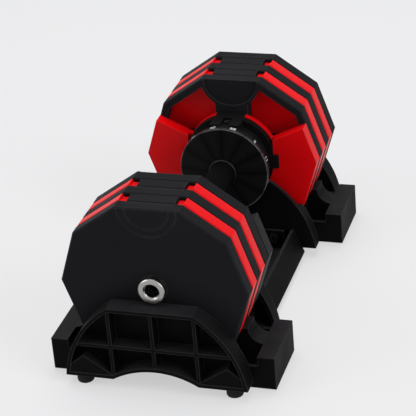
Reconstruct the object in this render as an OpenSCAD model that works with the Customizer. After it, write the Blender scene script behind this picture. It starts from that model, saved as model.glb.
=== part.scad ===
// Adjustable dumbbell resting in its cradle.
// The handle lies along Y, and both heads mirror each other in Y. Z = 0 is the
// underside of the rubber feet, and the origin is midway between them.
// Heads are drawn on the +Y side. Distances named *_d run along Y from the middle.

/* [Plates] */
// Width of a plate across its two widest corners
plate_w = 200; // [192:1:210]
// Height of a plate from its flat bottom to its flat top
plate_h = 180; // [174:1:188]
// Width of the flat at the top and bottom of a plate
top_flat_w = 68; // [62:1:72]
// Width of a plate across its four side corners
shoulder_w = 163; // [158:1:168]
// Height between the upper and lower side corners of a plate
shoulder_h = 113; // [108:1:118]
// Distance from one plate to the next along the handle
plate_pitch = 16; // [13:0.5:19]
// Gap between neighbouring plates
plate_gap = 0.3; // [0.2:0.1:0.6]
// Bevel around the rim of a plate
rim_bevel = 1.4; // [0.8:0.1:2]
// Radius of the half-round boss that locks plates together at the top
boss_r = 30; // [26:0.5:32]
// Half-width of a boss between its straight sides
boss_half = 25; // [22:0.5:28]
// Depth of the pockets beside a boss in the top of a red plate
top_pocket = 4.4; // [3:0.2:6]
// How far a boss reaches into the next black plate
boss_bite = 3; // [2:0.5:5]
// Clearance around a boss in the plate that it enters
boss_fit = 0.3; // [0.2:0.1:0.6]
// Width of the rim frame of the webbed inner plate
web_frame = 8.5; // [7:0.5:10]
// Width of the neck of the webbed inner plate
neck_w = 38; // [32:1:44]
// Width of the raised ring around the boss seat of the webbed inner plate
web_ring = 4.5; // [3:0.5:6]
// Radius of the hub of the webbed inner plate
web_hub_r = 40; // [34:1:46]
// Outer radius of the steel bush in the middle of a plate
bush_r = 14.5; // [13:0.5:16]
// How far the outermost bush stands proud of its plate
bush_proud = 9; // [5:0.5:12]

/* [Handle] */
// Length of the grip between the two flange discs
grip_len = 128; // [116:1:145]
// Radius of the grip
grip_r = 14; // [13.6:0.2:17]
// Radius of the flange discs at the ends of the grip
disc_r = 51; // [50:0.5:54]
// Thickness of a flange disc at its middle
disc_t = 6.8; // [5.5:0.1:9]
// Height of the shallow facets on a flange disc
disc_rise = 3.8; // [2:0.1:4.5]
// Radius of the number ring behind a flange disc
ring_r = 50.5; // [48:0.5:51]
// Thickness of the number ring
ring_t = 6.9; // [6:0.1:9]
// Running gap between the number ring and the hub housing
ring_gap = 0.6; // [0.4:0.1:1]
// Radius of the selector rods
rod_r = 7; // [6:0.1:7.4]
// Twist of the handle from all plates to none, in degrees
twist_range = 300; // [240:10:330]

/* [Core] */
// Radius of the hub housings
housing_r = 44; // [43:0.5:45]
// Length of a hub housing along the handle
housing_len = 27.7; // [24:0.1:32]
// Radius of the round collar of an end block
collar_r = 52.5; // [50:0.5:54]
// Thickness of that collar along the handle
collar_t = 7; // [6:0.5:10]
// Distance between the wings of an end block
wing_gap = 100; // [98:1:102]
// How far the wings of an end block stand in front of its collar
wing_step = 8; // [6:0.5:9]
// Height of the wings' upper edge where it meets the hub
wing_root_z = 25.5; // [20:0.5:32]
// Slope of the wings' upper edge, in degrees
wing_slope = 25; // [20:0.1:32]
// Width of the index cover on top of a hub housing
cover_w = 34; // [28:1:38]
// Height of the index cover above its hub housing
cover_rise = 7; // [6.5:0.25:8.5]
// Wall of the steel core tube
tube_wall = 2.42; // [2:0.02:2.6]
// Radius of the follower pins that drive the rods
follower_r = 2; // [1.5:0.1:2.2]
// Travel of a lock pin
lock_travel = 4; // [3:0.1:4]
// Radius of a lock pin
lock_r = 3; // [2.5:0.1:3.2]

/* [Cradle] */
// Width of the flat top of the cradle's end walls
wall_top_w = 92; // [84:1:98]
// Width of the cradle's end walls at their base
base_w = 196; // [190:1:206]
// Wall thickness of the cradle mouldings
shell_t = 4; // [3:0.25:5]
// Thickness of the ribs in the cradle's end walls
rib_t = 3.6; // [2.5:0.1:5]
// Depth of the outer end walls
outer_wall_t = 21; // [17:0.5:26]
// Depth of the walls beside the hubs
inner_wall_t = 16; // [13:0.5:18]
// Thickness of the flange along the top of those walls
inner_flange_t = 4.5; // [3.5:0.25:6]
// Gap between the plates and their seat in the cradle
seat_gap = 0.4; // [0.3:0.1:0.8]
// Width of the side lugs
lug_w = 18.5; // [16:0.5:24]
// Length of the side lugs
lug_len = 75; // [60:1:78]
// Height of the side lugs
lug_h = 37; // [30:1:42]
// Height of the tray that joins the two cradle heads
tray_h = 28; // [22:1:32]
// Radius of the rubber feet
foot_r = 9; // [7:0.5:11]
// Height of the rubber feet
foot_h = 11; // [8:0.5:14]
// Distance between the mounting threads across the cradle
mount_x = 60; // [50:1:80]
// Distance between the mounting threads along the cradle
mount_y = 300; // [280:2:320]
// Radius of the mounting threads
mount_r = 4; // [3:0.5:5]

/* [Hidden] */

plate_count = 5;
black = "#202022";
red = "#d21a24";
steel = "#c8c9cc";

// Heights are measured from the handle's axis, which lies this far above the ground.
plate_half = plate_h / 2;
base_drop = plate_half + shell_t + 7;
axis_h = base_drop + foot_h;

// Stations along the handle, from its middle outwards.
disc_d = grip_len / 2;
ring_d = disc_d + disc_t;
ring_back_d = ring_d + ring_t;
housing_d = ring_back_d + ring_gap;
collar_d = housing_d + housing_len;
wing_d = collar_d - wing_step;
plates_d = collar_d + collar_t;
head_end_d = plates_d + plate_count * plate_pitch;
pocket_in_d = wing_d - 0.6;
pocket_out_d = head_end_d + 1;
inner_wall_d = pocket_in_d - inner_wall_t;
outer_wall_d = pocket_out_d + outer_wall_t;

// Rods, tube and cam sleeve, one inside the other.
slide_fit = 0.08;
snug = 0.05;
rod_travel = plate_count * plate_pitch;
rod_tip_d = head_end_d - 1;
rod_root_d = rod_travel + 2;
follower_d = rod_root_d + 5;
rod_socket_r = rod_r - 2;
rod_socket_len = 30;
tube_in_r = rod_r + slide_fit;
tube_r = tube_in_r + tube_wall;
tube_end_d = plates_d - 0.3;
sleeve_in_r = tube_r + slide_fit;
sleeve_r = 12;
sleeve_end_d = collar_d - 11;
follower_half = sleeve_r - 0.5;
follower_play = 0.4;
slot_margin = follower_r + 0.3;
degrees_per_mm = twist_range / rod_travel;

// How far the windows of the webbed plate run down behind the wings.
web_sill = 6;

// Keys and circlips that hold the tube in the end blocks.
key_w = 4;
key_top = tube_r + 2;
key_low = tube_r - 1.1;
key_from_d = collar_d + 0.5;
key_to_d = plates_d - 3;
clip_t = 1.2;
clip_in_r = tube_r - 0.7;
clip_seat = 2.4;
clip_ds = [collar_d - clip_t - 0.2, plates_d - clip_seat + 0.2];

// Bearing between the sleeve and the housing.
bearing_r = sleeve_r + 2;
bearing_flange_r = sleeve_r + 6;
bearing_flange_t = 1.7;

// Lock pin, which hangs below the axis in each housing.
lock_d = housing_d + 9.7;
lock_head_r = 5;
lock_head_t = 3;
lock_head_top = 28.5;
lock_tip = housing_r + 1.5;
skirt_in_r = lock_head_top + lock_head_t + 1;
skirt_out_r = skirt_in_r + 4.5;
skirt_len = 5.3;
finger_w = 6;
spring_r = 2.9;
spring_wire_r = 0.45;
spring_top = bearing_flange_r - 0.4;

// Detent plunger above the axis, in a track on the number ring.
plunger_r = 3;
track_r = housing_r - 2;
plunger_len = 12;
ear_reach = 6;
nose_r = 1.8;

// Index cover, which bridges the housing and the end block's collar.
cover_top = housing_r + cover_rise;
cover_d = housing_d + 1.4;
cover_end_d = plates_d - 0.5;
cover_notch_w = 10;
cover_notch_t = 4;
cover_screw_d = wing_d - 4.5;
cover_screw_r = 1.75;
cover_fit = 0.1;
cover_screw_bite = 12;

// Screws.
housing_screw_r = 2.5;
housing_screw_bite = 5.6;
housing_screw_ring = 25;
housing_screw_angles = [30, 150, 210, 330];
ring_screw_r = 2;
ring_screw_ring = 20;
ring_screw_angles = [90, 210, 330];

// Cradle outline: an arch through three points on each side.
hub_clear_r = housing_r + 4;
wall_drop = bush_r + 2;
arch_points = [
    [wall_top_w / 2, -wall_drop],
    [shoulder_w / 2 + 3.5, -shoulder_h / 2 - 2.5],
    [base_w / 2, -base_drop]
];
belly_half_w = 46;
belly_rise = 13;
lug_x = plate_w / 2 + 2.5;
lug_mid_d = (plates_d + head_end_d) / 2;
side_inset = 30;
side_x = plate_w / 2 - side_inset;
side_top = shoulder_h / 2 + seat_gap;
lug_low = foot_h - 10;
lug_web = 24;
apron_h = 26;
gusset_h = 25;
gusset_edge_h = 9;
gusset_reach = 6;
foot_inset = 17;
foot_x = base_w / 2 - foot_inset;
gusset_peak_x = foot_x - 3.5;
foot_d = outer_wall_d - 11;
tray_top_w = 146;
tray_base_w = 170;
tray_low = foot_h - 5;
tray_t = 3.2;
tray_bolt_x = 50;
tray_bolt_rise = 4;
tray_bolt_drop = axis_h - tray_low - tray_h / 2 - tray_bolt_rise;
tray_flange_t = 3.5;
tray_bolt_r = 3;
tray_bolt_end_d = pocket_in_d - 2;
insert_r = 6;
insert_len = 9;
post_r = 3;
post_seat = 8;
foot_screw_r = 2;
foot_screw_len = 14;

function edge_normal(a, b) = let (d = (b - a) / norm(b - a)) [d.y, -d.x];
function grown_corner(a, p, b, g) =
    let (n = edge_normal(a, p), m = edge_normal(p, b)) p + g * (n + m) / (1 + n * m);

// Corners of a plate, with the outline grown outwards by g.
function plate_corners(g = 0) =
    let (
        quarter = [[plate_w / 2, 0], [shoulder_w / 2, shoulder_h / 2], [top_flat_w / 2, plate_half]],
        upper = concat(quarter, [for (i = [2:-1:0]) [-quarter[i].x, quarter[i].y]]),
        lower = [for (i = [4:-1:1]) [upper[i].x, -upper[i].y]],
        ring = concat(upper, [for (i = [0:3]) lower[i]]),
        n = len(ring)
    )
    [for (i = [0:n - 1]) grown_corner(ring[(i + n - 1) % n], ring[i], ring[(i + 1) % n], g)];

function circle_centre(a, b, c) =
    let (d = 2 * (a.x * (b.y - c.y) + b.x * (c.y - a.y) + c.x * (a.y - b.y)))
    [
        ((a * a) * (b.y - c.y) + (b * b) * (c.y - a.y) + (c * c) * (a.y - b.y)) / d,
        ((a * a) * (c.x - b.x) + (b * b) * (a.x - c.x) + (c * c) * (b.x - a.x)) / d
    ];

function plate_start(n) = plates_d + (n - 1) * plate_pitch + plate_gap / 2;
function plate_end(n) = plates_d + n * plate_pitch - plate_gap / 2;

// Extrudes a cross-section, drawn in X and height above the axis, from y0 to y1.
module along_y(y0, y1) {
    translate([0, y1, axis_h]) rotate([90, 0, 0]) linear_extrude(y1 - y0) children();
}

// Turns a profile, drawn as radius and distance along Y, around the handle's axis.
module turned() {
    translate([0, 0, axis_h]) rotate([-90, 0, 0]) rotate_extrude($fn = 96) children();
}

// A round bar along Y at x and height z from the axis.
module bar_y(x, z, r, y0, y1) {
    translate([x, y0, axis_h + z]) rotate([-90, 0, 0]) cylinder(h = y1 - y0, r = r, $fn = 48);
}

// A round bar that hangs below the axis at distance d, between two depths.
module bar_down(d, r, low, high) {
    translate([0, d, axis_h - low]) cylinder(h = low - high, r = r, $fn = 48);
}

// A round bar that stands above the axis at distance d, between two heights.
module bar_up(d, r, low, high) {
    translate([0, d, axis_h + low]) cylinder(h = high - low, r = r, $fn = 48);
}

// A block given by its corners, with z measured from the axis.
module block(x0, x1, y0, y1, z0, z1) {
    translate([x0, y0, axis_h + z0]) cube([x1 - x0, y1 - y0, z1 - z0]);
}

module both_x() {
    children();
    mirror([1, 0, 0]) children();
}

module both_ends() {
    children();
    mirror([0, 1, 0]) children();
}

module front() {
    mirror([0, 1, 0]) children();
}

// ---- Plates ----

module top_circle(r) {
    translate([0, plate_half]) circle(r = r, $fn = 128);
}

// Half-round boss with straight sides, grown by the given fit.
module boss_shape(fit = 0) {
    half = boss_half + fit;
    intersection() {
        top_circle(boss_r + fit);
        translate([-half, 0]) square([2 * half, fit > 0 ? plate_h : plate_half]);
    }
}

module plate_blank(n) {
    hull() {
        along_y(plate_start(n) + rim_bevel, plate_end(n) - rim_bevel) polygon(plate_corners());
        along_y(plate_start(n), plate_end(n)) polygon(plate_corners(-rim_bevel));
    }
}

module plate_bore(n) {
    along_y(plate_start(n) - 1, plate_end(n) + 1) circle(r = bush_r + snug, $fn = 96);
}

// The bevel between two plates, carried across the boss that bridges them.
module top_groove(d) {
    side = rim_bevel * sqrt(2);
    translate([0, d, axis_h + plate_half]) rotate([45, 0, 0]) cube([plate_w, side, side], center = true);
}

// Windows of the webbed plate on both sides of its neck.
module web_windows() {
    difference() {
        polygon(plate_corners(-web_frame));
        top_circle(boss_r + web_ring);
        circle(r = web_hub_r, $fn = 128);
        translate([-neck_w / 2, -plate_half]) square([neck_w, plate_h]);
        translate([-plate_w / 2, -plate_half]) square([plate_w, plate_half + wing_root_z - web_sill]);
    }
}

// A black plate: carries a boss on its outer side unless it is the last one.
module black_plate(n) {
    last = n == plate_count;
    boss_end_d = plate_start(n + 2) + boss_bite;
    color(black) difference() {
        union() {
            plate_blank(n);
            if (!last) along_y(plate_end(n) - 2, boss_end_d) boss_shape();
        }
        plate_bore(n);
        if (!last) top_groove(plates_d + n * plate_pitch);
        if (!last) top_groove(plates_d + (n + 1) * plate_pitch);
        if (n > 1) along_y(plate_start(n) - 1, plate_start(n) + boss_bite + boss_fit) boss_shape(boss_fit);
        if (n == 1) along_y(plate_start(n) - 1, plate_end(n) + 1) web_windows();
        if (n == 1) along_y(plate_start(n) - 1, plate_start(n) + 2) top_circle(boss_r + 1);
        if (last) along_y(plate_end(n) - 0.7, plate_end(n) + 1) face_marks();
    }
}

// Two shallow half-round grooves in the outer face.
module face_marks() {
    for (r = [boss_r + 2, boss_r - 6]) difference() {
        top_circle(r);
        top_circle(r - 1);
    }
}

// A red plate: open at the top for the black boss that passes through it, with a pocket on each side.
module red_plate(n) {
    half = top_flat_w / 2;
    color(red) difference() {
        plate_blank(n);
        plate_bore(n);
        along_y(plate_start(n) - 1, plate_end(n) + 1) boss_shape(boss_fit);
        block(-half, half, plate_start(n) - 1, plate_end(n) + 1, plate_half - top_pocket, plate_half + 1);
    }
}

module plate(n) {
    if (n % 2 == 1) black_plate(n);
    else red_plate(n);
}

module bush(n) {
    out = n == plate_count ? plate_end(n) + bush_proud : plate_end(n);
    bore = rod_r + 0.3;
    turned() polygon([
        [bore, plate_start(n)], [bush_r, plate_start(n)], [bush_r, out - 1.2], [bush_r - 1.2, out],
        [bore + 1.8, out], [bore, out - 1.8]
    ]);
}

module plate_bushes() {
    color(steel) for (n = [1:plate_count]) bush(n);
}

// ---- Core: end blocks, housings and tube ----

// Decagon below the sloping upper edges of the wings.
module wing_shape() {
    reach = plate_w;
    rise = reach * tan(wing_slope);
    low = wing_root_z - wing_gap / 2 * tan(wing_slope);
    intersection() {
        polygon(plate_corners());
        polygon([[0, low], [reach, low + rise], [reach, -reach], [-reach, -reach], [-reach, low + rise]]);
    }
}

// Gap between the wings, round at the bottom.
module hub_opening(grow = 0) {
    half = wing_gap / 2 + grow;
    circle(r = half, $fn = 128);
    translate([-half, 0]) square([2 * half, plate_half]);
}

// Ears of the housing, which drop into notches in the wings.
module ears(grow = 0) {
    both_x() block(housing_r - 4, wing_gap / 2 + ear_reach + grow, wing_d - 3 - 10 * grow, wing_d + 5 + grow,
                   -8 - grow, 8 + grow);
}

module cover_seat(from_d) {
    half = cover_w / 2 + cover_fit;
    block(-half, half, from_d, plates_d + 1, housing_r - cover_fit, plate_half);
}

module end_block(paint) {
    color(paint) difference() {
        union() {
            along_y(collar_d, plates_d) circle(r = collar_r, $fn = 128);
            difference() {
                along_y(wing_d, plates_d) wing_shape();
                along_y(wing_d - 1, collar_d) hub_opening();
            }
        }
        along_y(collar_d - 1, plates_d + 1) circle(r = tube_r + snug, $fn = 96);
        along_y(plates_d - clip_seat, plates_d + 1) circle(r = tube_r + 4, $fn = 96);
        ears(0.3);
        cover_seat(collar_d - 1);
        block(-key_w / 2, key_w / 2, collar_d - 1, plates_d + 1, 0, key_top + snug);
        for (a = housing_screw_angles)
            bar_y(housing_screw_ring * cos(a), housing_screw_ring * sin(a), housing_screw_r + snug,
                  collar_d - 1, collar_d + housing_screw_bite + 0.3);
    }
}

module tube_keys() {
    color("#8d8f93") both_ends()
        block(-key_w / 2 + snug, key_w / 2 - snug, key_from_d, key_to_d, key_low, key_top);
}

module hub_housing() {
    color(black) difference() {
        union() {
            along_y(housing_d, collar_d) circle(r = housing_r, $fn = 128);
            along_y(wing_d, collar_d) intersection() {
                circle(r = collar_r - 0.5, $fn = 128);
                hub_opening(-0.4);
            }
            ears();
        }
        cover_seat(wing_d - cover_fit);
        bar_up(cover_screw_d, cover_screw_r + snug, housing_r - cover_screw_bite, housing_r + 1);
        along_y(housing_d - 1, collar_d + 3) circle(r = bearing_r + snug, $fn = 96);
        along_y(housing_d - 1, ring_back_d + 0.2 + bearing_flange_t) circle(r = bearing_flange_r + snug, $fn = 96);
        along_y(housing_d - 1, ring_back_d + skirt_len + 0.6) difference() {
            circle(r = skirt_out_r + 0.5, $fn = 128);
            circle(r = skirt_in_r - 0.5, $fn = 128);
        }
        // Room for the lock pin: shank, head, finger and spring.
        bar_down(lock_d, lock_r + 0.1, housing_r + 3, skirt_in_r);
        bar_down(lock_d, lock_head_r + 0.4, lock_head_top + lock_head_t + lock_travel + 0.4, lock_head_top - 0.3);
        block(-finger_w / 2 - 0.4, finger_w / 2 + 0.4, housing_d + 1, lock_d,
              -(lock_head_top + lock_head_t + lock_travel + 0.4), -(lock_head_top - 0.3));
        bar_down(lock_d, spring_r + 1.2, lock_head_top, spring_top);
        bar_y(0, track_r - 2, plunger_r + snug, housing_d - 1, housing_d + plunger_len);
        for (a = housing_screw_angles) {
            x = housing_screw_ring * cos(a);
            z = housing_screw_ring * sin(a);
            bar_y(x, z, housing_screw_r + snug, housing_d, collar_d + 1);
            bar_y(x, z, 4.5, housing_d - 1, housing_d + 5.5);
        }
    }
}

// Cover with a sight notch, in front of which the chosen number shows.
module index_cover() {
    half = cover_w / 2;
    notch_floor = cover_top - cover_notch_t;
    color(black) difference() {
        union() {
            block(-half, half, cover_d, wing_d, 0, cover_top);
            block(-half, half, wing_d - 1, cover_end_d, housing_r, cover_top);
        }
        along_y(cover_d - 1, wing_d + 1) circle(r = housing_r + cover_fit, $fn = 128);
        block(-half - 1, half + 1, cover_d - 1, wing_d + 1, -1, housing_r * cos(asin(half / housing_r)) - 2);
        block(-cover_notch_w / 2, cover_notch_w / 2, cover_d - 1, wing_d, notch_floor, cover_top + 1);
        bar_up(cover_screw_d, cover_screw_r + snug, 0, cover_top);
        both_x() translate([half, cover_d - 1, axis_h + cover_top]) rotate([0, 45, 0])
            translate([-1, 0, -1]) cube([2, cover_end_d - cover_d + 2, 2]);
    }
}

module index_screws() {
    head_low = cover_top - cover_notch_t;
    color("#4a4b4e") both_ends() difference() {
        union() {
            bar_up(cover_screw_d, cover_screw_r, housing_r - cover_screw_bite + 1, head_low);
            bar_up(cover_screw_d, 3.4, head_low, head_low + 2);
        }
        bar_up(cover_screw_d, 1.2, head_low + 0.8, head_low + 3);
    }
}

module housing_screws() {
    color("#9a9ca0") both_ends() for (a = housing_screw_angles) {
        x = housing_screw_ring * cos(a);
        z = housing_screw_ring * sin(a);
        difference() {
            union() {
                bar_y(x, z, housing_screw_r, housing_d + 4, collar_d + housing_screw_bite);
                bar_y(x, z, 4.2, housing_d + 1, housing_d + 5.5);
            }
            bar_y(x, z, 1.6, housing_d, housing_d + 3.5);
        }
    }
}

// Steel tube that joins the two end blocks inside the grip.
module core_tube() {
    slot_in = follower_d - rod_travel - slot_margin;
    slot_out = follower_d + slot_margin;
    color("#a9abae") difference() {
        along_y(-tube_end_d, tube_end_d) difference() {
            circle(r = tube_r, $fn = 96);
            circle(r = tube_in_r, $fn = 96);
        }
        both_ends() block(-tube_r - 1, tube_r + 1, slot_in, slot_out, -slot_margin, slot_margin);
        both_ends() block(-key_w / 2, key_w / 2, key_from_d, key_to_d, key_low, key_top);
        both_ends() for (d = clip_ds) along_y(d, d + clip_t) difference() {
            circle(r = tube_r + 1, $fn = 96);
            circle(r = clip_in_r, $fn = 96);
        }
    }
}

// Circlips that hold the tube in both end blocks.
module retaining_rings() {
    color("#6d6f73") both_ends() for (d = clip_ds) along_y(d + snug, d + clip_t - snug) difference() {
        circle(r = tube_r + 3, $fn = 96);
        circle(r = clip_in_r + snug, $fn = 96);
        translate([0, -tube_r - 2]) square([5, 8], center = true);
    }
}

module bearing() {
    flange_in = ring_back_d + 0.2;
    color("#b58a4a") turned() polygon([
        [sleeve_r + slide_fit, flange_in], [bearing_flange_r, flange_in],
        [bearing_flange_r, flange_in + bearing_flange_t], [bearing_r, flange_in + bearing_flange_t],
        [bearing_r, sleeve_end_d], [sleeve_r + slide_fit, sleeve_end_d]
    ]);
}

// Spring plungers that click into the number rings.
module detent_plungers() {
    nose_d = ring_back_d - 0.9;
    color(steel) both_ends() {
        bar_y(0, track_r - 2, plunger_r, housing_d + 0.3, housing_d + plunger_len);
        bar_y(0, track_r - 2, nose_r - 0.4, nose_d + nose_r, housing_d + 1);
        translate([0, nose_d + nose_r, axis_h + track_r - 2]) sphere(r = nose_r, $fn = 32);
    }
}

// ---- Handle: turns in the housings ----

module grip() {
    color("#2a2422") turned() difference() {
        translate([sleeve_r + snug, -disc_d]) square([grip_r - sleeve_r - snug, grip_len]);
        for (d = [-disc_d, disc_d]) translate([grip_r, d]) rotate(45) square(1.2, center = true);
    }
}

module grip_collars() {
    color("#3a3a3c") both_ends() turned() polygon([
        [grip_r + snug, disc_d - 3.5], [grip_r + 1, disc_d - 3.5], [grip_r + 2, disc_d - 2.5],
        [grip_r + 2, disc_d], [grip_r + snug, disc_d]
    ]);
}

// Helical slot that drives a follower pin, on the +Y half of the sleeve.
module cam_slot() {
    lead = rod_travel * 360 / twist_range;
    mid_r = (sleeve_in_r + sleeve_r) / 2;
    climb = atan2(lead, 2 * PI * mid_r);
    slot_w = 2 * (follower_r + follower_play) / sin(climb);
    low_d = follower_d - rod_travel;
    for (side = [0, 180]) translate([0, low_d, axis_h]) rotate([-90, 0, 0]) rotate(side - twist_range) {
        linear_extrude(height = rod_travel, twist = -twist_range, slices = 36, convexity = 6)
            translate([sleeve_in_r - 1, -slot_w / 2]) square([sleeve_r - sleeve_in_r + 2, slot_w]);
        rotate([0, 90, 0]) cylinder(h = sleeve_r + 1, r = follower_r + follower_play, $fn = 32);
        rotate(twist_range) translate([0, 0, rod_travel]) rotate([0, 90, 0])
            cylinder(h = sleeve_r + 1, r = follower_r + follower_play, $fn = 32);
    }
}

module cam_sleeve() {
    color("#b9bbbe") difference() {
        along_y(-sleeve_end_d, sleeve_end_d) difference() {
            circle(r = sleeve_r, $fn = 96);
            circle(r = sleeve_in_r, $fn = 96);
        }
        both_ends() cam_slot();
    }
}

// Flange disc with twelve shallow facets that face the hand.
module flange_disc() {
    facets = 12;
    hub_r = grip_r + 3;
    rim_d = disc_d + disc_rise;
    color(black) difference() {
        intersection() {
            union() {
                along_y(rim_d - 0.01, ring_d) circle(r = disc_r, $fn = 128);
                translate([0, rim_d, axis_h]) rotate([90, 0, 0])
                    cylinder(h = disc_rise, r1 = disc_r / cos(180 / facets), r2 = hub_r, $fn = facets);
            }
            along_y(disc_d, ring_d) circle(r = disc_r, $fn = 128);
        }
        along_y(disc_d - 1, ring_d + 1) circle(r = sleeve_r + snug, $fn = 96);
        ring_screw_holes(ring_d - 4.2);
    }
}

module ring_screw_holes(from_d) {
    for (a = ring_screw_angles)
        bar_y(ring_screw_ring * cos(a), ring_screw_ring * sin(a), ring_screw_r + snug, from_d, ring_back_d + 1);
}

// Ring that carries the weight numbers, with a notched skirt for the lock pin.
module number_ring() {
    head_seat = 3.2;
    color("#161618") difference() {
        union() {
            along_y(ring_d, ring_back_d) circle(r = ring_r, $fn = 128);
            along_y(ring_back_d - 1, ring_back_d + skirt_len) difference() {
                circle(r = skirt_out_r, $fn = 128);
                circle(r = skirt_in_r, $fn = 128);
            }
        }
        along_y(ring_d - 1, ring_back_d + 1) circle(r = sleeve_r + snug, $fn = 96);
        ring_screw_holes(ring_d - 1);
        for (a = ring_screw_angles)
            bar_y(ring_screw_ring * cos(a), ring_screw_ring * sin(a), 3.7, ring_back_d - head_seat, ring_back_d + 1);
        along_y(ring_back_d - 1.2, ring_back_d + 1) difference() {
            circle(r = track_r + 0.2, $fn = 128);
            circle(r = track_r - 4.2, $fn = 128);
        }
        for (k = [0:plate_count]) translate([0, 0, axis_h]) rotate([0, -k * twist_range / plate_count, 0])
            translate([-finger_w / 2 - 0.4, ring_back_d, -skirt_out_r + 0.8])
                cube([finger_w + 0.8, skirt_len + 1, 8]);
    }
}

module ring_screws() {
    color("#9a9ca0") both_ends() for (a = ring_screw_angles) {
        x = ring_screw_ring * cos(a);
        z = ring_screw_ring * sin(a);
        difference() {
            union() {
                bar_y(x, z, ring_screw_r, ring_d - 4, ring_back_d - 1);
                bar_y(x, z, 3.5, ring_back_d - 3.2, ring_back_d - 0.4);
            }
            bar_y(x, z, 1.3, ring_back_d - 2, ring_back_d);
        }
    }
}

// ---- Selector rods and lock pins ----

module selector_rod() {
    color(steel) difference() {
        turned() polygon([
            [0, rod_root_d], [rod_r, rod_root_d], [rod_r, rod_tip_d - 1.2], [rod_r - 1.2, rod_tip_d],
            [rod_socket_r, rod_tip_d], [rod_socket_r, rod_tip_d - rod_socket_len],
            [0, rod_tip_d - rod_socket_len - 3]
        ]);
        translate([-rod_r - 1, follower_d, axis_h]) rotate([0, 90, 0])
            cylinder(h = 2 * rod_r + 2, r = follower_r + snug, $fn = 48);
    }
}

module follower_pin() {
    color("#7b7d80") translate([-follower_half, follower_d, axis_h]) rotate([0, 90, 0])
        cylinder(h = 2 * follower_half, r = follower_r, $fn = 48);
}

module lock_pin() {
    head_low = lock_head_top + lock_head_t;
    color("#c8a13a") {
        bar_down(lock_d, lock_r, lock_tip, head_low - 0.5);
        bar_down(lock_d, lock_head_r, head_low, lock_head_top);
        block(-finger_w / 2, finger_w / 2, housing_d + 1.8, lock_d, -head_low, -lock_head_top);
    }
}

// Round wire wound into a coil that stands on z = 0, as one closed tube.
module coil(r, wire, height, turns) {
    steps = 12;
    sides = 8;
    count = turns * steps;
    points = [
        for (i = [0:count])
            let (a = 360 * i / steps, z = wire + (height - 2 * wire) * i / count)
            for (k = [0:sides - 1])
                let (b = 360 * k / sides, out = r + wire * cos(b))
                [out * cos(a), out * sin(a), z + wire * sin(b)]
    ];
    faces = concat(
        [[for (k = [sides - 1:-1:0]) k]],
        [[for (k = [0:sides - 1]) count * sides + k]],
        [for (i = [0:count - 1], k = [0:sides - 1])
            let (a = i * sides + k, b = i * sides + (k + 1) % sides)
            [a, b, b + sides, a + sides]]
    );
    polyhedron(points, faces, convexity = 8);
}

module lock_spring() {
    color(steel) translate([0, lock_d, axis_h - lock_head_top + 0.05])
        coil(spring_r, spring_wire_r, lock_head_top - spring_top - 0.1, 4);
}

// ---- Cradle ----

// Arch of an end wall, drawn inset by the given amount.
module arch(inset = 0, top = -wall_drop, low = -base_drop) {
    c = circle_centre(arch_points[0], arch_points[1], arch_points[2]);
    r = norm(arch_points[0] - c) - inset;
    intersection() {
        translate(c) circle(r = r, $fn = 256);
        translate([-c.x, c.y]) circle(r = r, $fn = 256);
        translate([-plate_w, low]) square([2 * plate_w, top - inset - low]);
    }
}

module belly(inset = 0) {
    r = (belly_half_w * belly_half_w + belly_rise * belly_rise) / (2 * belly_rise);
    translate([0, -base_drop + belly_rise - r]) circle(r = r + inset, $fn = 256);
}

module arch_wall() {
    difference() {
        arch();
        belly();
    }
}

module arch_cell() {
    difference() {
        arch(shell_t, low = -base_drop + shell_t);
        belly(shell_t);
    }
}

module wall_ribs() {
    rib_xs = [-wall_top_w / 2, 0, wall_top_w / 2];
    for (x = rib_xs) translate([x - rib_t / 2, -base_drop]) square([rib_t, base_drop]);
    translate([-base_w / 2, -base_drop * 0.64]) square([base_w, rib_t]);
}

// Closed corner blocks that carry the feet.
module foot_gussets() {
    both_x() polygon([
        [belly_half_w - gusset_reach, -base_drop], [gusset_peak_x, -base_drop + gusset_h],
        [base_w / 2, -base_drop + gusset_edge_h], [base_w / 2, -base_drop]
    ]);
}

// Space that the plates and the end block drop into.
module plate_pocket() {
    polygon(plate_corners(seat_gap));
    translate([-plate_w / 2 - seat_gap, 0]) square([plate_w + 2 * seat_gap, plate_h]);
}

// Skin that the plates lie in, with a side wall down from each of its edges.
module seat_section() {
    skin_half = side_x + shell_t;
    difference() {
        union() {
            intersection() {
                polygon(plate_corners(seat_gap + shell_t));
                translate([-skin_half, -plate_h]) square([2 * skin_half, plate_h - side_top]);
            }
            both_x() translate([side_x, -base_drop]) square([shell_t, base_drop - side_top]);
        }
        plate_pocket();
    }
}

// Web under the plates from the side wall to a lug, with a hollow curve along its top.
module lug_web_section(top) {
    difference() {
        translate([side_x, -base_drop]) square([lug_x + 1 - side_x, base_drop - side_top]);
        translate([lug_x + 2, -side_top]) circle(r = -side_top - top, $fn = 96);
        plate_pocket();
    }
}

// Hollow side lug, held by its web and by a low apron at each end.
module lug() {
    d0 = lug_mid_d - lug_len / 2;
    d1 = lug_mid_d + lug_len / 2;
    low = lug_low - axis_h;
    web_half = lug_web / 2;
    difference() {
        union() {
            block(lug_x, lug_x + lug_w, d0, d1, low, low + lug_h);
            block(side_x, lug_x + 1, d0, d0 + shell_t, low, low + apron_h);
            block(side_x, lug_x + 1, d1 - shell_t, d1, low, low + apron_h);
            along_y(lug_mid_d - web_half, lug_mid_d + web_half) lug_web_section(low + lug_h);
        }
        block(lug_x + shell_t, lug_x + lug_w - shell_t, d0 + shell_t, lug_mid_d - web_half, low - 1,
              low + lug_h - shell_t);
        block(lug_x + shell_t, lug_x + lug_w - shell_t, lug_mid_d + web_half, d1 - shell_t, low - 1,
              low + lug_h - shell_t);
    }
}

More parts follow.
